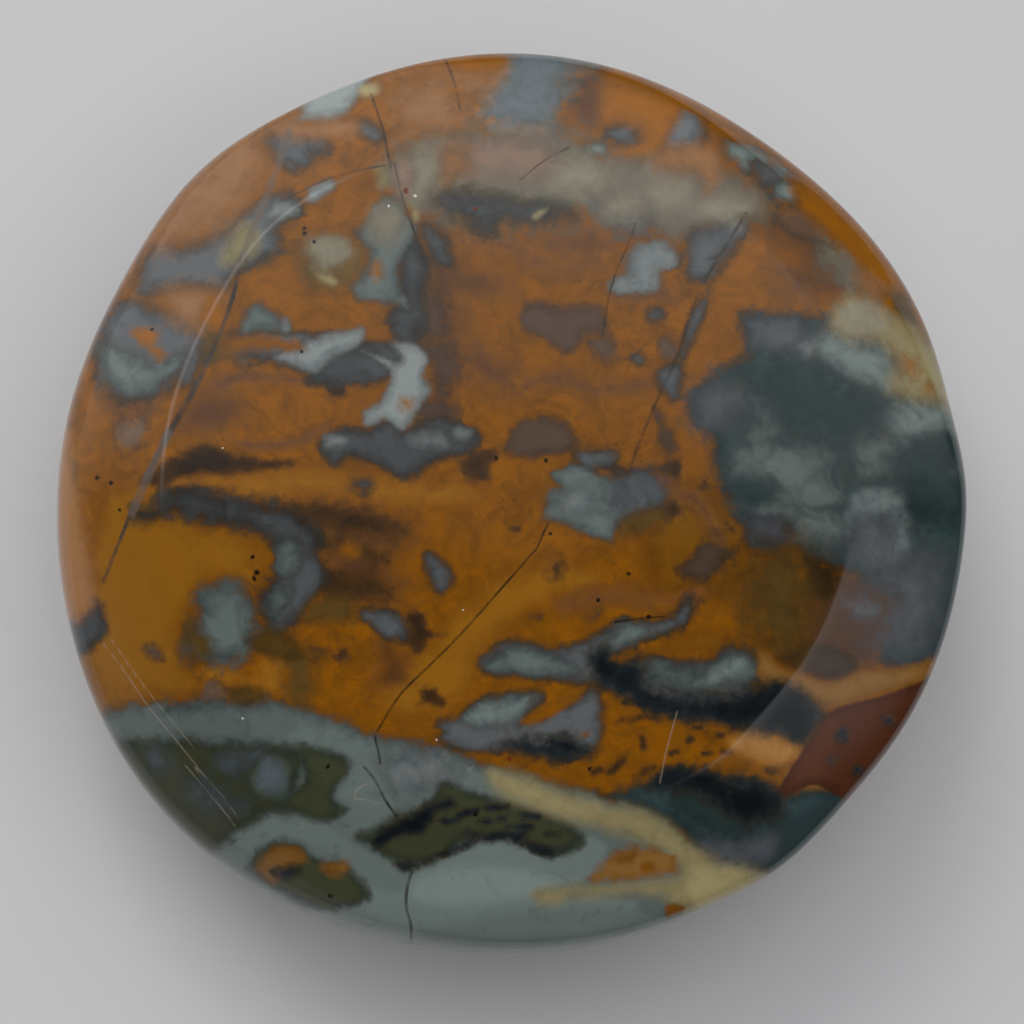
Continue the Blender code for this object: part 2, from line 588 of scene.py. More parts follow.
mineral("brown_mud", light=(80, 52, 32), deep=(98, 63, 32), edge=1.9, ragged=1.3, drawing="""
14 0 280,510 340,508 400,520 410,545 395,560 400,600 350,605 318,590 322,560 300,530
3 0.3 212,382 240,372 300,376 335,388 300,384 250,381 220,392
3 0.3 215,430 250,441 300,437 330,422 300,446 250,450
14 -0.1 425,222 450,228 458,262 500,276 500,290 460,298 468,330 458,365 430,355 418,300
14 0.3 520,218 560,228 600,218 612,250 580,262 540,250
12 0.1 440,350 470,340 516,372 522,396 500,392 470,372
12 0 190,395 235,396 232,430 200,432 180,425
9 0.3 470,232 520,240 560,262 600,250 604,262 560,276 512,256 470,248
7 0.2 520,380 560,372 600,384 650,380 640,392 596,396 556,386 520,392
7 0.2 610,284 640,290 668,286 672,300 640,304 612,298
6 0.2 632,470 660,486 700,492 726,540 716,548 692,506 652,500 628,486
8 0.3 560,600 610,590 660,596 700,586 704,596 660,606 608,602 562,612
14 0.1 780,262 820,262 860,276 860,300 820,304 785,296
12 -0.2 105,395 150,396 150,412 110,412
9 0.1 566,76 590,68 606,80 604,125 582,132 566,112 572,92
12 -0.4 385,640 398,655 404,670 404,682 375,684 382,670
9 -0.1 836,566 880,568 908,590 892,640 870,674 820,674 798,650 810,600
12 0 740,215 770,206 810,216 846,236 858,262 840,280 815,290 800,266 775,240
""")

# %% Clay with a painted reflection veil, and umber
# This grey-cream layer over the far band of the face and in spots by the shoulders is partly the clay's own
# colour and partly a painted reflection veil.
mineral("clay_and_painted_veil", light=(106, 100, 86), deep=(86, 79, 66), edge=1.8, ragged=1.9, drawing="""
12 0 395,160 430,132 500,128 560,126 600,146 660,150 700,168 745,176 770,192 760,216 724,236 690,244 640,232
    600,216 540,224 460,224 420,214 398,190
8 0.1 215,240 236,216 262,226 262,258 232,270 212,262
8 -0.1 820,215 860,250 880,270 860,292 820,262
6 -0.2 890,285 906,290 918,320 902,318
""")

mineral("umber", light=(50, 35, 22), deep=(78, 52, 24), edge=1.2, ragged=1.5, drawing="""
5 -0.5 140,482 160,466 200,444 232,452 262,460 292,460 285,466 245,473 195,476 155,485
7 0 268,508 300,500 340,505 390,514 412,528 398,540 350,532 318,526 290,520
7 0.15 318,530 352,536 385,552 388,566 360,560 330,552 316,544
7 0 318,566 345,572 378,574 396,598 370,602 325,600 315,592
3 0 328,380 340,378 346,384 345,394 336,399 328,394
4 0 600,462 622,462 640,468 665,462 678,458 682,468 676,478 645,474 618,482 608,474
5 0.2 660,500 668,496 680,500 686,510 680,520 668,522 660,515
3 0 405,612 425,612 426,620 430,630 450,635 436,637 428,642 424,650 415,654 404,640 410,630
3 -0.2 420,692 434,688 438,694 445,700 442,706 426,704 416,706 422,700
5 0.2 305,645 325,646 335,652 345,645 348,655 342,662 326,656 308,652
5 -0.2 775,655 800,645 812,640 806,655 798,667 778,662
8 -0.7 800,555 825,560 845,566 840,582 832,596 820,600 808,582
4 0.1 458,462 468,454 492,450 500,456 490,468 490,480 470,482
3 0 615,724 625,716 640,712 655,718 645,721 632,723
3 0 628,752 612,764 606,775 616,773 626,763
3 0 656,766 645,768 632,777 640,778 652,772
2 0 692,725 702,725 702,730 692,730
2 0 721,749 733,750 732,755 722,755
3 0 762,766 776,767 775,774 763,773
3 0 640,736 646,738 645,750 640,748
2 0 655,706 662,704 664,712 657,714
2 0.1 686,738 694,736 696,742 688,744
2 0.1 715,733 724,732 725,738 716,739
2 0.1 742,742 752,743 751,748 742,747
2 0 590,770 600,766 604,770 594,776
2 0.2 668,752 678,748 680,753 670,757
2 0.1 700,752 712,750 713,755 702,757
2 0.2 622,700 634,698 636,703 624,706
2 0.1 772,752 784,753 783,758 772,757
4 0.2 702,478 708,478 709,490 703,490
6 0.4 548,560 560,558 564,572 556,582 548,576
2 0 508,527 520,528 519,532 509,531
4 0.2 726,523 735,524 735,533 727,533
5 0.1 226,62 262,40 330,22 380,18 330,34 270,58 240,74
4 -0.1 165,488 185,486 225,491 200,494 175,492
""")

# %% Violet
mineral("violet", light=(84, 67, 55), deep=(68, 49, 35), edge=1.2, ragged=1.8, halo=0.25, drawing="""
4 0 520,310 538,302 548,306 575,305 602,306 603,315 606,334 588,334 574,350 562,350 545,338 525,330 518,322
4 -0.1 502,450 508,440 525,418 562,420 576,438 582,440 565,450 545,455 515,455
8 -0.2 412,345 440,345 455,352 460,370 450,400 458,415 440,420 415,415 422,400 432,395 434,384 430,362
8 -0.1 408,296 425,292 438,300 445,332 432,336 420,330 412,318
5 -0.2 655,412 664,420 676,446 668,452 660,440
4 -0.4 680,568 698,550 702,540 735,552 736,556 725,560 722,570 704,582 685,577
5 -0.1 678,612 675,604 682,596 694,596 698,604 686,622 678,630 655,636 645,640 650,626 665,620
5 0.7 203,684 212,680 228,694 222,700 202,702
4 0.3 143,650 152,646 160,650 160,657 152,658
5 0.4 230,348 246,346 260,352 250,362 240,365
6 0.8 115,438 118,425 135,418 145,422 147,432 142,440 124,450
6 -0.8 802,665 812,650 825,645 845,650 856,660 850,672 818,680
3 0 532,614 540,614 542,620 530,618
4 0 585,620 602,608 600,616 592,622
4 0.3 660,342 672,342 680,352 676,360 662,358
8 0.5 780,215 795,208 825,228 832,240 805,235 790,228
6 0.2 590,342 602,338 616,346 618,358 604,362
6 0.7 545,88 560,80 578,84 578,95 548,108 525,102
8 0.1 640,16 700,24 760,60 742,64 690,40 645,34
5 0.3 484,215 492,228 486,236 474,228
""")

# %% Slate and teal
mineral("slate", light=(78, 81, 83), deep=(44, 43, 40), edge=1.1, ragged=1.3, halo=0.6, drawing="""
7 0.2 100,330 122,302 160,312 200,325 214,345 190,362 170,385 140,396 110,392 98,370
5 -0.2 232,335 280,333 330,345 400,345 402,362 380,382 330,384 292,366 240,352
4 -0.6 316,372 338,358 365,342 382,354 356,364 370,372 345,380 312,384 305,378
4 -0.4 322,450 322,440 345,428 372,428 398,418 405,430 440,420 470,428 480,436 478,442 462,454 438,460 408,478
    388,470 352,456 335,465
5 -0.5 400,245 420,240 428,270 420,300 425,320 415,340 402,345 388,318 402,300 398,268
5 0 426,226 436,232 452,258 438,260 424,240
8 -0.85 148,520 135,512 158,510 160,496 185,490 225,498 268,506 305,520 322,545 290,552 262,532 240,526
    202,520 175,512
7 -0.3 268,512 300,525 318,560 322,575 315,590 300,615 280,634 263,618 264,605 260,592 283,566 278,552 262,530
4 0 275,560 300,545 318,562 318,590 300,612 280,630 264,612 270,592 286,572
4 0.3 480,668 492,650 515,642 560,648 595,636 622,620 655,622 678,612 690,600 686,622 665,632 632,646 600,662
    606,670 600,682 545,679
4 0.4 440,740 444,732 440,724 465,712 482,700 510,692 538,692 540,700 522,722 545,716 582,698 592,688 600,700
    602,725 598,745 578,757 545,757 515,750 475,752
4 0 606,668 640,660 655,657 685,662 715,657 730,646 755,658 766,672 752,684 760,694 780,682 803,692 825,712
    810,730 800,742 768,730 725,720 675,716 630,698 600,684 594,660
4 -0.6 20,615 78,612 92,598 104,620 94,645 24,680
8 -0.1 428,192 460,192 510,202 560,205 572,215 540,220 500,218 488,230 460,215
6 0.75 668,116 684,106 702,110 704,134 694,148 676,150 662,140
7 0.4 755,156 768,158 800,192 775,192 750,168
7 0.3 745,216 715,220 690,240 684,262 692,280 708,282 722,262 744,232
4 0.2 648,315 656,308 664,315 656,322
4 0.2 632,360 639,355 646,360 639,365
5 0.1 353,485 361,479 370,485 361,491
4 0.1 658,370 678,364 682,372 678,395 670,400 660,384
4 0.2 710,284 708,296 694,336 680,358 692,316 700,304
5 0.3 240,336 262,332 325,336 318,342 283,352 255,350
4 0.4 180,378 190,350 207,350 200,362 188,386
4 0.2 425,555 440,560 452,580 442,594 430,580
4 0.2 360,612 380,610 402,618 408,638 390,638 370,625
6 0.3 140,292 150,250 188,246 225,236 245,215 270,195 296,198 300,210 278,228 280,248 262,262 240,268 220,288
    180,287
7 0.2 265,140 300,132 322,138 325,150 295,168 282,160
5 0.3 577,452 605,450 620,456 608,464 585,470
5 0.4 358,130 365,122 380,132 376,142
4 0.7 440,110 445,106 450,110 445,114
5 0.3 612,128 634,121 640,126 634,134 640,142 628,147 606,136
4 0.4 68,465 74,464 74,480 68,480
8 0.1 96,196 128,150 168,112 186,124 158,160 128,212
7 0 10,330 36,300 40,350 34,420 8,440
""")

mineral("teal", light=(58, 76, 77), deep=(33, 47, 47), edge=1.2, ragged=1.4, halo=0.6, drawing="""
5 -0.2 740,316 790,316 830,318 835,330 877,338 898,368 893,392 930,404 1000,420 1005,520 985,600 960,655
    895,665 885,655 900,600 870,580 830,562 800,548 793,536 775,548 750,548 748,522 722,480 712,438 690,412
    698,388 730,366 752,352
5 -0.3 600,796 632,790 660,775 685,768 728,779 758,782 775,795 830,788 880,805 870,860 820,875 780,858 740,838
    700,845 680,830 640,808
9 -0.1 486,-20 600,-20 612,30 560,40 500,34
6 -0.7 684,822 740,826 800,815 850,785 880,800 800,870 760,880 700,862
""")

# %% [markdown]
# Silica came after the mud. It filled the hollows with blue-green and pale chalcedony, and clay and iron
# settled in and beside it. So these minerals lie over the first ones, and the darkest threads come last.

# %% Minerals that lie over those
mineral("aqua", light=(98, 109, 105), deep=(56, 64, 64), edge=1.1, ragged=1.4, halo=0.35, drawing="""
8 -0.1 850,490 905,486 915,520 905,565 880,570 858,540
10 -0.2 735,500 850,505 850,545 800,545 750,520
5 -0.1 100,716 140,707 200,702 278,704 320,714 380,738 436,748 500,768 530,776 600,797 650,812 700,850 760,870
    800,900 700,960 560,1010 400,1000 250,950 100,850 70,760
5 -0.1 378,205 395,198 408,215 414,236 400,265 398,280 410,308 395,306 382,304 350,292 362,272 368,252 358,236
    375,215
4 0 541,520 552,494 560,488 553,472 578,466 600,476 620,478 646,474 663,490 655,508 632,515 616,528 612,541
    590,534 550,519
12 -0.2 722,440 735,388 760,395 778,418 785,438 820,443 838,462 835,475 850,500 842,510 820,515 790,512
    755,484 726,486 728,455 750,432 738,402
12 0.5 850,500 868,484 888,485 893,495 912,500 905,530 915,545 892,552 878,520 856,520 848,545
9 0.35 802,340 830,331 862,338 886,345 900,372 896,396 878,394 850,380 826,366 812,352
12 0.35 880,400 905,398 945,396 972,398 972,430 940,436 912,448 895,446 884,428
12 -0.45 845,440 872,428 898,436 904,470 882,484 850,480
8 -0.25 198,595 212,583 236,582 246,598 258,640 238,662 205,665 184,652 188,634 199,618
6 -0.4 276,545 294,540 302,562 284,577 276,570
6 -0.5 270,590 282,586 290,596 276,620 268,608
6 0.5 462,718 485,702 515,696 530,698 515,722 482,726
5 -0.1 485,668 508,650 545,652 572,664 580,674 530,676
5 0 600,650 622,628 640,626 648,634 620,648
7 -0.2 702,672 722,660 745,652 758,672 735,686 690,692 650,682 655,664 690,668
7 0.5 710,668 736,656 746,662 730,674 712,682
6 0.35 400,890 415,868 445,860 480,842 500,842 562,856 582,836 606,845 597,870 575,888 610,898 660,905 665,918
    650,960 560,1000 450,1000 320,950 300,915 366,900 372,885
5 0.1 205,858 240,828 280,812 320,822 355,845 402,872 405,890 380,890 335,856 300,840 262,850 225,885 190,885
5 0 350,768 372,770 396,810 378,828 350,834 346,815 333,795
6 0 85,725 140,709 225,703 278,706 320,714 380,738 436,746 475,765 495,768 500,795 455,783 430,792 412,812
    396,810 372,768 330,750 270,742 200,742 140,744 85,760
7 0 104,345 128,352 150,364 182,358 172,380 140,392 110,386
4 -0.2 242,335 240,325 252,306 268,308 286,330 262,332
6 0.4 722,146 748,143 782,160 800,182 775,165 752,160 745,170
6 0.6 775,185 795,185 797,200 778,200
8 0 945,450 965,450 968,480 948,480
5 -0.2 640,900 720,893 745,905 700,940 640,952
14 0.7 415,882 450,868 520,870 560,885 500,902 450,906 415,900
12 0.1 420,930 560,908 660,916 650,960 400,960
10 -0.35 85,725 140,709 225,703 280,708 300,725 270,742 200,742 140,744
5 0.4 584,145 602,146 606,152 596,156
""")

# %% Pale silica and fog
mineral("pale_silica", light=(127, 134, 132), deep=(84, 91, 91), edge=1.1, ragged=1.1, halo=0.2, drawing="""
4 0 272,358 300,346 325,335 361,328 362,343 345,352 328,360 314,374 295,366
4 0.1 392,343 410,343 427,356 424,378 432,392 420,405 403,432 385,418 366,428 363,412 380,401 390,371 360,350
    395,362 399,355
6 -0.2 645,242 665,242 677,262 661,272 656,292 611,290 624,272 628,256
5 -0.35 795,345 806,336 816,345 812,358 798,358
4 0 306,201 308,190 328,180 335,184 318,200
5 0.2 310,62 300,95 303,112 296,122 340,117 354,100 370,75 368,48 336,40
8 -0.4 560,492 585,488 596,508 575,518 550,500
6 -0.1 270,215 275,205 295,206 290,216
5 -0.4 325,435 346,436 345,446 326,446
5 -0.6 405,434 440,434 448,448 415,446
5 -0.4 455,430 470,428 470,438 456,438
10 -0.4 388,752 435,752 455,772 425,788 405,808 388,782
4 -0.3 280,330 284,318 290,330
""")

mineral("violet_fog", light=(84, 86, 91), deep=(62, 64, 68), edge=1.8, ragged=1.3, drawing="""
8 -0.1 748,332 758,318 800,320 806,345 780,354 755,347
12 -0.2 690,400 702,384 722,378 738,392 740,412 730,430 706,434 692,420
14 0.05 852,520 880,510 898,520 892,560 872,575 850,560
16 -0.2 862,575 905,556 950,556 942,620 930,652 890,652 872,640 885,600
10 0 700,838 740,828 780,836 770,862 730,868 705,856
9 0.1 845,600 865,596 882,606 880,618 862,622 846,612
10 -0.1 612,478 655,476 662,495 645,512 618,516 606,500
6 -0.6 748,515 790,518 795,535 775,546 753,542
8 -0.1 596,200 640,206 652,226 622,234 598,218
""")

# %% Deep teal, moss and moss slate
mineral("deep_teal", light=(42, 59, 58), deep=(33, 47, 47), edge=1.8, ragged=1.4, drawing="""
11 -0.1 742,374 760,358 795,356 822,364 842,380 868,388 886,402 884,418 862,436 838,440 812,434 796,432
    782,418 776,402 758,392
9 0 735,476 764,480 770,500 752,508 736,500
14 -0.2 912,440 940,434 962,445 964,525 940,528 918,518 902,490 902,460
6 -0.4 908,478 937,480 944,512 925,522 906,507
8 -0.2 690,775 730,778 770,790 780,812 740,840 705,835 672,812
""")

mineral("moss", light=(60, 63, 43), deep=(42, 50, 42), edge=1.1, ragged=1.1, halo=0.45, drawing="""
4 0 355,838 378,828 400,815 425,805 440,788 455,786 490,799 545,812 583,836 570,851 545,851 505,839 465,842
    440,856 410,867 392,858 375,848
4 0 300,748 330,752 350,765 333,795 345,810 322,820 285,805 303,780
6 -0.3 112,745 150,741 190,740 246,745 300,750 303,770 290,800 292,812 262,815 218,846 205,856 180,880 130,850
    90,790
4 0.1 250,866 275,842 298,845 318,860 342,864 366,890 364,900 340,908 310,906 285,893
""")

mineral("moss_slate", light=(74, 80, 84), deep=(50, 60, 56), edge=1.8, ragged=1.4, drawing="""
12 0.75 498,40 502,62 486,90 474,112 495,132 545,134 562,112 570,84 600,66 602,40
6 0.4 262,755 285,760 290,772 285,798 262,795 250,782
6 -0.3 148,748 160,748 172,770 148,770
6 -0.2 215,755 262,748 262,760 228,778
8 -0.3 200,775 225,790 250,800 240,815 210,812 185,795
""")

# %% Olive mud, cream and clays
mineral("olive_mud", light=(92, 70, 30), deep=(68, 51, 24), edge=1.8, ragged=1.4, drawing="""
18 -0.35 752,556 777,547 793,535 806,556 815,590 815,625 798,666 765,645 745,620 742,590
6 -0.2 895,285 905,290 916,320 900,316
10 0.3 415,190 415,150 445,135 470,145 465,180 440,190
6 -0.1 302,615 325,595 356,602 350,620 315,620
8 0 285,655 310,655 310,700 288,700
6 -0.2 230,690 245,686 262,692 255,702 235,703
8 0.3 300,240 330,232 362,244 366,270 340,290 308,286 298,262
6 -0.1 620,520 640,508 668,512 662,525 625,534
6 -0.5 245,640 280,630 305,650 300,662 268,656
7 -0.3 186,618 200,628 212,648 206,664 186,656
9 0 200,330 228,332 230,352 204,356
""")

mineral("cream", light=(144, 132, 93), deep=(120, 110, 77), edge=1.3, ragged=0.6, drawing="""
11 0 832,322 848,297 872,302 908,322 960,345 975,400 930,402 890,388 897,368 885,345 848,336
8 0.1 485,770 525,776 590,800 645,811 676,830 720,861 790,885 770,915 720,935 690,925 660,898 590,897 540,905
    540,889 600,884 672,876 668,857 640,842 565,820 505,797
8 0.4 690,868 740,866 778,884 735,914 695,906
4 -0.2 308,250 320,239 345,241 348,254 328,264
5 -0.3 378,172 385,165 396,180 380,187
5 -0.2 398,165 432,157 418,172 420,190 408,206 398,176
7 -0.2 222,258 240,228 256,228 255,250 230,265
4 0.3 360,86 376,84 378,94 362,96
3 0.2 533,215 548,208 537,219
3 0 412,208 420,212 415,222
4 0.2 318,274 333,277 334,284 320,280
""")

mineral("pale_clay", light=(126, 119, 101), deep=(106, 100, 85), edge=1.8, ragged=1.2, drawing="""
8 0.35 834,322 848,299 872,301 886,318 878,332 852,334
10 0.1 548,156 600,158 625,172 600,195 560,195 540,175
10 0 605,192 640,194 642,222 604,220
10 0 648,172 692,178 692,212 652,212
8 0.1 700,200 735,192 756,202 738,222 700,220
6 -0.2 372,210 398,204 405,230 385,245 368,232
7 0 402,160 440,140 450,160 425,200 408,200
6 0 310,240 338,238 350,252 338,266 316,262
""")

mineral("pink_clay", light=(128, 105, 90), deep=(104, 90, 77), edge=1.8, ragged=1.2, drawing="""
9 0 458,150 490,136 540,138 560,158 540,180 490,180 462,170
5 0 388,165 412,160 416,185 404,200 392,186
""")

# %% Honey, brick and apricot
mineral("honey", light=(132, 94, 46), deep=(112, 72, 24), edge=1.2, ragged=1.2, drawing="""
4 0 760,652 780,665 803,674 835,682 862,670 900,668 955,652 950,675 885,690 832,708 825,714 808,698 762,684
8 0.85 735,735 775,732 800,745 798,758 765,765 730,748
5 0.2 783,776 800,765 830,774 836,788 800,788
8 0.2 902,358 916,360 918,376 906,374
8 0.2 924,384 934,386 933,394 926,393
5 0.1 590,880 600,865 625,848 665,852 678,872 615,880
6 0 325,862 345,862 345,872 326,872
4 -0.35 256,866 280,844 302,850 308,860 290,868 275,884 262,876
""")

mineral("brick", light=(80, 42, 24), deep=(62, 33, 21), edge=0.5, ragged=0.35, drawing="""
4 0 828,712 860,702 900,690 955,670 950,700 900,760 870,800 845,800 815,785 790,795 775,795 800,755 812,735
6 0.2 806,745 826,712 836,725 828,765 812,782 796,780
""")

mineral("apricot", light=(138, 97, 60), deep=(122, 84, 50), edge=1.9, ragged=1.5, drawing="""
10 0 392,100 440,82 455,105 460,125 415,128
10 0.1 440,62 470,58 495,57 492,75 465,98 450,75
7 -0.1 655,150 690,146 705,165 676,172 655,166
7 -0.2 440,150 470,148 465,172 445,176
6 0.1 690,145 712,150 720,172 705,195 705,178 684,160
5 -0.2 855,262 884,268 900,286 882,296 862,290
6 0.1 278,124 350,122 352,136 290,138
14 0 156,238 192,178 240,138 262,150 252,190 216,222 180,238
5 0.2 50,430 70,430 78,490 86,550 94,605 60,620 40,520
10 0 170,292 205,288 220,300 212,325 190,330 172,312
""")

# %% Gold and ink, the topmost
mineral("gold", light=(134, 80, 8), deep=(112, 70, 20), edge=1.4, ragged=1.4, drawing="""
6 0.2 608,80 650,82 684,100 675,125 660,150 630,157 612,152 640,142 645,132 620,122 602,118
3 -0.1 521,722 545,706 580,694 565,708 540,723
2 -0.1 578,736 590,732 588,737
3 -0.1 366,308 376,304 386,312 378,318
3 0.1 370,332 378,330 380,338 371,338
3 -0.2 665,912 668,903 685,908 672,917
4 -0.2 618,860 638,851 632,862
3 -0.1 640,866 650,862 655,868 645,871
5 0.1 212,292 230,315 218,332 200,322 205,305
7 0.1 796,176 850,218 900,272 902,290 868,272 828,236 800,206
5 0.1 440,62 500,56 500,70 470,76
5 -0.1 610,72 680,92 740,130 735,138 680,108 612,88
4 0.2 132,330 152,328 160,336 150,345 136,342
4 0.1 150,348 162,346 166,354 156,360
4 -0.1 365,305 378,303 386,310 378,318
5 -0.2 220,340 260,335 300,345 300,350 250,350 225,350
5 0.2 372,262 380,262 380,280 373,280
5 0.2 403,398 412,400 411,408 403,408
5 0 340,545 356,543 358,556 344,558
""")

mineral("ink", light=(14, 19, 23), deep=(30, 35, 37), edge=1.2, ragged=1.3, halo=0.5, drawing="""
7 0.2 590,655 606,650 616,662 640,664 645,685 670,694 720,697 748,692 760,685 785,683 805,694 822,712 812,730
    800,742 765,730 720,723 665,716 612,690 596,680
7 0.3 505,746 525,738 545,742 565,736 590,750 575,757 545,757
6 0 650,788 662,774 685,768 715,775 735,785 760,782 785,800 770,815 745,822 720,808 690,790
4 -0.2 372,842 392,825 418,812 440,802 450,800 456,806 436,812 422,830 400,836 380,845
3 0.2 415,866 445,850 478,838 512,831 528,835 522,840 560,852 545,856 505,840 462,848
3 0.4 462,836 470,832 485,834 478,840
4 0.5 400,862 412,860 420,862 415,868 402,868
2 0.4 455,814 474,808 478,811 460,818
2 0.4 486,806 506,805 507,809 490,810
2 0.4 480,820 502,817 504,821 484,824
2 0.4 508,826 530,824 533,829 512,830
2 0.4 520,812 540,815 541,819 524,817
2 0.4 545,832 560,831 562,836 548,837
2 0.5 440,820 456,817 458,821 444,825
3 0.9 838,729 846,729 847,739 839,740
3 0.9 853,767 863,768 862,774 854,774
3 0.9 884,716 893,715 894,724 885,725
3 1 828,757 835,757 835,764 829,764
4 0.4 274,872 290,868 300,870 286,880
""")

# %% All outlines
print(len(MINERALS), "minerals with", sum(len(m[-1]) for m in MINERALS.values()), "outlines")

# %% [markdown]
# Where an outline meets the stone, each point of the stone asks how deep inside it lies. Seen points use
# their own place in the picture. The steep far side and the underside can't be seen, so the picture is
# unrolled over them: past the arris or the rim a point keeps moving outwards, as far as its way along the
# section is long. The base, further from the rim, reads the same drawing turned and mirrored, which makes it
# a cousin of the face.

# %% Where each point falls in the drawing
PIXELS_PER_MM = 20
BASE_TURN = np.radians(140)
BASE_STARTS = 1.0
BASE_ENDS = 5.0
BEVEL_SLOPE = np.radians(15)
BEVEL_SEEN = (0.04, 0.14)


def smooth_step(value, start, end):
    """0 below start and 1 above end, with 3 t^2 - 2 t^3 of the share t between them."""
    share = np.clip((value - start) / (end - start), 0, 1)
    return share * share * (3 - 2 * share)


def face_drawing_places():
    """The picture point of each point of the stone, unrolled outwards past the edge that hides it.

    The edge is the arris where the bevel turns away from the camera, and the rim elsewhere.
    """
    seen = picture_point(points)
    rim_way = np.minimum(way, RIM_WAY)
    arris_way = np.minimum(way, ARRIS_WAY)
    rim_place, arris_place = (
        picture_point(around(*section_point(direction, edge_way))) for edge_way in (rim_way, arris_way)
    )
    outwards = np.column_stack((np.cos(turned), -np.sin(turned)))
    line_of_sight = (EYE - points) / np.linalg.norm(EYE - points, axis=1)[:, None]
    bevel_normal = around(np.cos(BEVEL_SLOPE), np.sin(BEVEL_SLOPE))
    hidden = 1 - smooth_step((bevel_normal * line_of_sight).sum(1), *BEVEL_SEEN)
    past_arris = (length_to(rim_way) - length_to(arris_way)) * hidden
    past_rim = length_to(way) - length_to(rim_way)
    place = np.where((way > RIM_WAY)[:, None], rim_place, seen)
    place += (hidden * (way > ARRIS_WAY))[:, None] * (arris_place - place)
    return place + outwards * ((past_arris + past_rim) * PIXELS_PER_MM)[:, None], past_rim


def base_drawing_places():
    """The plan of each point mirrored and turned, in pixels about the picture's middle."""
    across = points[:, 0] * np.cos(BASE_TURN) + points[:, 1] * np.sin(BASE_TURN)
    up = points[:, 0] * np.sin(BASE_TURN) - points[:, 1] * np.cos(BASE_TURN)
    return PICTURE / 2 + PIXELS_PER_MM * np.column_stack((across, up))


face_places, past_rim = face_drawing_places()
base_places = base_drawing_places()
base_share = smooth_step(past_rim, BASE_STARTS, BASE_ENDS)
charts = (
    (face_places, np.flatnonzero(base_share < 1)),
    (base_places, np.flatnonzero(base_share > 0)),
)
print("points that read the face's drawing:", len(charts[0][1]), "and the base's:", len(charts[1][1]))

# %% [markdown]
# The depth of a point in an outline is its distance to the nearest side, positive inside and negative
# outside. Kept as a number on each point, it leaves the choice of how soft and how ragged an edge is to the
# finish. Where two outlines of a mineral meet, the larger depth counts, so that they run together.

# %% How deep each point lies in each mineral
CURVE_STEPS = 4
DEEPEST = 3.0
LIGHTNESS_EDGE = 0.6
TINY = 1e-6


def rounded(corners, closed=True):
    """The Catmull-Rom curve through the corners, CURVE_STEPS points to a side.

    From corner s to corner e, with b before and f beyond them, its point at t from 0 to 1 is half of
    2 s + (e - b) t + (2 b - 5 s + 4 e - f) t^2 + (3 s - b - 3 e + f) t^3.
    """
    if not closed:
        corners = np.concatenate((corners[:1], corners, corners[-1:]))
    before, start, end, beyond = (np.roll(corners, -shift, 0) for shift in (-1, 0, 1, 2))
    t = (np.arange(CURVE_STEPS) / CURVE_STEPS)[:, None, None]
    curve = 0.5 * (
        2 * start + (end - before) * t + (2 * before - 5 * start + 4 * end - beyond) * t ** 2
        + (3 * start - before - 3 * end + beyond) * t ** 3
    )
    curve = curve.transpose(1, 0, 2)
    return curve.reshape(-1, 2) if closed else np.concatenate((curve[1:-2].reshape(-1, 2), corners[-1:]))


def depth_inside(places, curve):
    """How many pixels inside a closed curve places lie, negative outside: the nearest side's distance.

    A place is inside if a line from it to one side of the picture crosses the curve an odd number of times.
    """
    across, down = (places[:, None, axis] - curve[:, axis] for axis in (0, 1))
    side_across, side_down = (np.roll(curve, -1, 0) - curve).T
    length = side_across ** 2 + side_down ** 2 + TINY
    share = np.clip((across * side_across + down * side_down) / length, 0, 1)
    distance = np.sqrt(((across - share * side_across) ** 2 + (down - share * side_down) ** 2).min(1))
    spans = (down < 0) != (down < side_down)
    slope = side_across / np.where(side_down == 0, TINY, side_down)
    crossings = (spans & (across < down * slope)).sum(1)
    return np.where(crossings % 2 == 1, distance, -distance)


# %% Depths and lightness, stored on the stone
def mineral_fields(places):
    """Each mineral's depth in edge widths, the most of its outlines, and the topmost outline's lightness."""
    places = places.astype(np.float32)
    lightness = np.zeros(len(places))
    fields = {}
    for name, (*_, outlines) in MINERALS.items():
        field = np.full(len(places), -DEEPEST)
        for softness, light, corners in outlines:
            curve = rounded(corners).astype(np.float32)
            margin = DEEPEST * softness
            near = ((places > curve.min(0) - margin) & (places < curve.max(0) + margin)).all(1)
            near = np.flatnonzero(near)
            if not len(near):
                continue
            depth = np.clip(depth_inside(places[near], curve) / softness, -DEEPEST, DEEPEST)
            field[near] = np.maximum(field[near], depth)
            cover = smooth_step(depth, -LIGHTNESS_EDGE, LIGHTNESS_EDGE)
            lightness[near] += cover * (light - lightness[near])
        fields[name] = field
    fields["lightness"] = lightness
    return fields


def keep(name, values):
    """Stores one number for each point of the stone as a named attribute."""
    stored = mesh.attributes.new(name, "FLOAT", "POINT")
    stored.data.foreach_set("value", values.astype(np.float32))


fields = [mineral_fields(places[members]) for places, members in charts]
for name in fields[0]:
    values = np.zeros(len(points))
    for share, (places, members), chart_fields in zip((1 - base_share, base_share), charts, fields):
        values[members] += share[members] * chart_fields[name]
    keep(name, values)
print("stored", len(fields[0]), "attributes")

# %% [markdown]
# Cracks and scratches are strokes too thin for the stone's points to hold as areas. Each point keeps instead
# how far sideways it lies from the nearest stroke, in half widths and with a sign, so that a line thinner
# than the grid still crosses zero in the right place. Specks are smaller still: each is a centre and a size.

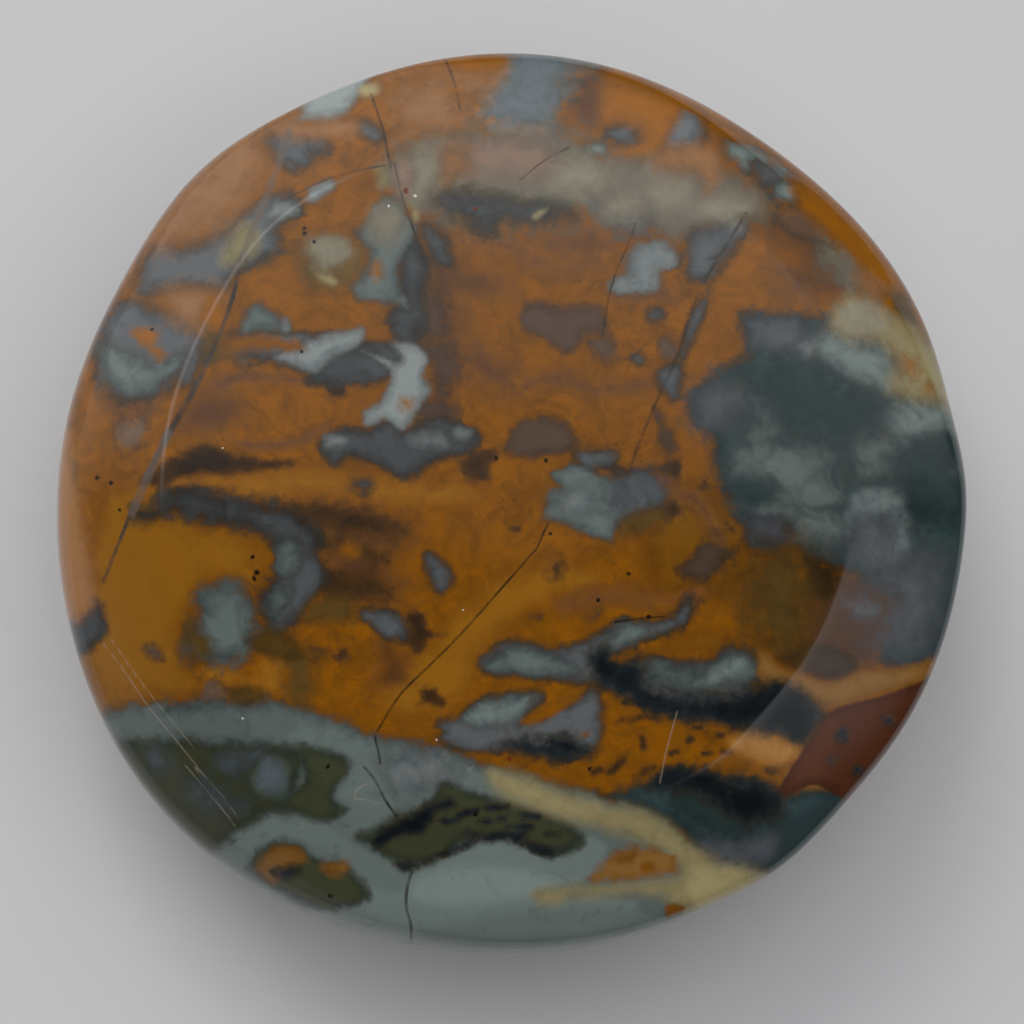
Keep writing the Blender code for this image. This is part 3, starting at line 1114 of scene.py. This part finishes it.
# %% Strokes and specks
STROKES = {
    "veins": """
2.2 240,262 232,300 214,348 205,366
3.2 205,366 192,393 168,435
2.4 168,435 160,450 150,470
1.8 132,510 118,545 104,580
""",
    "pale_veins": """
3.6 288,136 274,178 256,222 240,262
4.2 166,438 150,472 134,508
""",
    "cracks": """
1.2 548,524 543,534 537,548 530,556 500,590 460,635 430,665 400,695 378,730
1.2 375,738 378,750 380,762
1.3 365,768 372,776 378,786 384,798 396,816
1.6 412,872 408,884 406,905 411,925 411,942
1.2 616,622 645,618 664,617
""",
    "hairlines": """
1.8 745,215 722,252 700,290 688,322 680,350
1.6 680,350 662,390 640,440 630,470
1.2 635,225 628,245 617,270 608,300 603,335
1.4 395,165 403,200 412,225 418,245
1.4 390,165 383,130 372,96
1.4 445,58 455,85 460,110
1.0 520,180 545,160 568,148
1.0 285,200 330,178 385,165
""",
    "scratches": """
0.9 677,712 672,730 667,748 664,762 660,782
0.9 367,784 357,789 355,797 353,800 362,799 375,803 381,804
0.8 468,771 473,766
0.8 302,824 303,830
0.8 100,640 125,672 148,706 180,745 206,778
0.6 112,640 150,694 196,750
0.7 186,766 215,800 235,826
0.6 196,768 224,798 238,818
""",
}
SPECKS_SEEN = {
    "dark": """
3.0 331,896
2.4 328,766
2.6 476,814
2.2 551,535
2.6 598,602
2.8 650,617
2.2 627,574
2.6 588,768
2.4 303,228
2.8 305,235
2.0 312,242
2.4 254,558
3.4 256,572
3.0 256,578
2.2 303,352
2.4 152,330
2.8 112,482
2.4 98,478
2.2 120,510
2.8 497,458
2.4 545,462
""",
    "red": """
2.6 508,758
2.4 474,208
3.2 404,190
""",
    # The near-white specks are painted glints: small highlights put into the colour.
    "painted_glint": """
1.8 415,197
1.4 388,207
1.1 437,740
1.0 244,717
0.9 224,448
0.9 462,612
""",
}
print(len(STROKES), "families of strokes and", len(SPECKS_SEEN), "of specks")

# %% Distances to strokes, and places of specks
FAR_AWAY = 9.0


def stroke_fields(places, drawing):
    """The signed sideways distance in half widths of the nearest stroke, and its whole distance."""
    sideways = np.full(len(places), FAR_AWAY)
    nearest = np.full(len(places), FAR_AWAY)
    for line in lines_of(drawing):
        half_width, *corners = line.split()
        curve = rounded(places_of(corners), closed=False)
        start, side = curve[:-1], np.diff(curve, axis=0)
        offset = places[:, None] - start
        length = (side ** 2).sum(1) + TINY
        share = np.clip((offset * side).sum(2) / length, 0, 1)
        distance = np.sqrt(((offset - share[..., None] * side) ** 2).sum(2))
        best = distance.argmin(1)[:, None]
        cross = (offset[..., 0] * side[:, 1] - offset[..., 1] * side[:, 0]) / np.sqrt(length)
        distance = np.take_along_axis(distance, best, 1)[:, 0] / float(half_width)
        closer = distance < nearest
        nearest = np.where(closer, distance, nearest)
        cross = np.take_along_axis(cross, best, 1)[:, 0] / float(half_width)
        sideways = np.where(closer, np.clip(cross, -FAR_AWAY, FAR_AWAY), sideways)
    return sideways, nearest


def speck_places(drawing):
    """The point of the stone nearest to each speck of the picture, in millimetres, and the speck's size."""
    found = []
    for line in lines_of(drawing):
        size, place = line.split()
        away = ((face_places - places_of([place])) ** 2).sum(1)
        found.append((points[away.argmin()].tolist(), float(size) / PIXELS_PER_MM))
    return found


for name, drawing in STROKES.items():
    sideways, nearest = stroke_fields(face_places, drawing)
    keep(name, sideways)
    keep(name + "_near", nearest)
SPECKS = {family: speck_places(drawing) for family, drawing in SPECKS_SEEN.items()}
print("specks:", {family: len(found) for family, found in SPECKS.items()})

# %% [markdown]
# The finish turns the stored depths into colour. A few soft noises push every edge in and out, so that an
# outline of a dozen corners gets the torn edge of settled mud, and clouds mix each mineral's light and deep
# colour. The strokes and specks come on top. The polish itself is plain: smooth quartz, with its own index of
# refraction.

# %% Colours of the ground, the strokes and the specks
GROUND = srgb(134, 80, 5)
GROUND_DEEP = srgb(92, 58, 14)
HALO = srgb(50, 43, 28)
VEIN = srgb(62, 57, 52)
PALE_VEIN = srgb(104, 93, 84)
MOTTLE = srgb(58, 40, 18)
CRACK = srgb(38, 30, 20)
SCRATCH = srgb(180, 160, 140)
# The near-white speck colour is a painted glint, a highlight put into the colour.
SPECK_COLOURS = {"dark": srgb(30, 22, 14), "red": srgb(110, 44, 22), "painted_glint": srgb(215, 215, 205)}
SEEN_TO_SURFACE = 1.30

# %% Noises and edges of the finish
jasper = Finish("polished_jasper")
place_mm = jasper.node(
    "VectorMath", {"operation": "SCALE"},
    {0: jasper.node("TexCoord", {}, {}, output="Object"), "Scale": 1 / MM},
)


def noise(scale, detail=2.0, roughness=0.5, distortion=0.0):
    """Smooth 3D noise about 0, from -0.5 to 0.5; scale is how many of its bumps fit in a millimetre."""
    character = {"Scale": scale, "Detail": detail, "Roughness": roughness, "Distortion": distortion}
    return jasper.node("TexNoise", {}, {"Vector": place_mm, **character}) - 0.5


def stored(name):
    """An attribute of the stone's points."""
    return jasper.node("Attribute", {"attribute_name": name}, {}, output="Fac")


def soft_edge(value, width):
    """0 to 1 as the value goes from -width to width, through a smooth step."""
    return jasper.rise(value, -width, width)


def mixed(share, first, second):
    """A colour between two colours: first where the share is 0, and second where it is 1."""
    return jasper.node("Mix", {"data_type": "RGBA"}, {"Factor": share, 6: first, 7: second}, output=2)


def brighter(colour, factor):
    """A colour times a number."""
    return jasper.node("VectorMath", {"operation": "SCALE"}, {0: colour, "Scale": factor})


# %% Noises from broad to fine
WANDER_MIDDLING = 2.4
WANDER_SMOKE = 1.6
WANDER_FINE = 0.3
broad = noise(0.35)
middling = noise(1.1, detail=3.0, roughness=0.6)
smoke = noise(2.3, detail=3.0, roughness=0.6)
fine = noise(5.5, roughness=0.6)
grain = noise(16.0, detail=1.0)
clouds = noise(0.8, detail=3.0, roughness=0.6, distortion=0.8)
wander = middling * WANDER_MIDDLING + smoke * WANDER_SMOKE + fine * WANDER_FINE
print("the noises take", len(jasper.tree.nodes), "nodes")

# %% Covers of strokes and specks
STROKE_WAVER = 0.5
STROKE_EDGE = 0.4
STROKE_ENDS = 2.2
STROKE_ENDS_EDGE = 0.8
SPECK_RADIUS = 0.8
SPECK_WAVER = 1.5
SPECK_EDGE = 0.5


def stroke_cover(name):
    """How much of a point a family of strokes covers: the sideways distance counts only near the stroke."""
    across = abs(stored(name)) + fine * STROKE_WAVER
    near = STROKE_ENDS - stored(name + "_near")
    return soft_edge(1 - across, STROKE_EDGE) * soft_edge(near, STROKE_ENDS_EDGE)


def speck_cover(family):
    """How much of a point the round specks of a family cover."""
    nearest = FAR_AWAY
    for centre, size in SPECKS[family]:
        away = jasper.node("VectorMath", {"operation": "DISTANCE"}, {0: place_mm, 1: centre}, output=1) / size
        nearest = away.maths("MINIMUM", away, nearest)
    return soft_edge(SPECK_RADIUS - nearest + fine * SPECK_WAVER, SPECK_EDGE)


# %% Ground, with its flow lines and mottles
# Flow lines lie where the sine of folded noise is high, and mottles where a fine noise and the broad one are.
FOLDS = 34
FOLDS_WANDER = 3
FLOW_LINE_LEVEL = 0.6
FLOW_LINE_EDGE = 0.4
FLOW_LINE_COVER = 0.28
MOTTLE_LEVEL = 0.13
MOTTLE_EDGE = 0.05
MOTTLE_PATCH_EDGE = 0.12
MOTTLE_COVER = 0.6
folds = noise(0.22, detail=1.0, roughness=0.4, distortion=1.2) * FOLDS + middling * FOLDS_WANDER
flow_lines = soft_edge(folds.maths("SINE", folds) - FLOW_LINE_LEVEL, FLOW_LINE_EDGE)
flow_lines = flow_lines * (broad * 2.5 + 0.5).clamped()
mottles = soft_edge(noise(5.0, detail=3.0, roughness=0.7) - MOTTLE_LEVEL, MOTTLE_EDGE)
mottles = mottles * soft_edge(broad, MOTTLE_PATCH_EDGE)
colour = mixed((clouds * 2.0 + smoke * 0.4 + 0.74).clamped(), GROUND_DEEP, GROUND)
colour = mixed(flow_lines * FLOW_LINE_COVER, colour, MOTTLE)
colour = mixed(mottles * MOTTLE_COVER, colour, MOTTLE)
print("with the ground there are", len(jasper.tree.nodes), "nodes")

# %% Minerals over the ground
# The number added last is a share's mean, and each number before it says how much a noise or the depth sways
# it. Lightness is in stops, so a colour is multiplied by 2 to the power of it.
HALO_WIDTH = 1.0
for name, (light, deep, edge, ragged, halo, outlines) in MINERALS.items():
    inside = stored(name)
    depth = inside + wander * ragged
    inner = (inside * 0.30 + clouds * 1.9 + middling * 0.5 + 0.22).clamped()
    if halo:
        halo_cover = soft_edge(depth + HALO_WIDTH, HALO_WIDTH) * (clouds * 2 + halo).clamped()
        colour = mixed(halo_cover, colour, HALO)
    colour = mixed(soft_edge(depth, edge), colour, mixed(inner, deep, light))
stops = stored("lightness") + broad * 0.25 + grain * 0.16
colour = brighter(colour, stops.maths("POWER", 2.0, stops) * SEEN_TO_SURFACE)
print("with the minerals there are", len(jasper.tree.nodes), "nodes")

# %% Strokes, specks and polish
# A family of strokes has a colour, how much its cover comes and goes along it, and its cover in the mean.
STROKE_LOOKS = {
    "veins": (brighter(VEIN[:3], clouds * 2.4 + 1), 1.5, 0.7),
    "pale_veins": (PALE_VEIN, 1.5, 0.6),
    "hairlines": (CRACK, 2.0, 0.4),
    "cracks": (CRACK, 1.5, 0.65),
    "scratches": (SCRATCH, 0.0, 0.3),
}
for family, (tint, swing, mean) in STROKE_LOOKS.items():
    colour = mixed(stroke_cover(family) * (middling * swing + mean).clamped(), colour, tint)
# The last family of specks puts painted glints, small near-white highlights, into the colour.
for family, tint in SPECK_COLOURS.items():
    colour = mixed(speck_cover(family), colour, tint)
jasper.surface(Base_Color=colour, Roughness=0.09, IOR=1.54)
stone.data.materials.append(jasper.material)
print("the stone's finish has", len(jasper.tree.nodes), "nodes")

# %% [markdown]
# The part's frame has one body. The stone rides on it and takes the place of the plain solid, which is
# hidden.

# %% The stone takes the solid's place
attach(stone, "root")
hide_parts("jasper_stone")
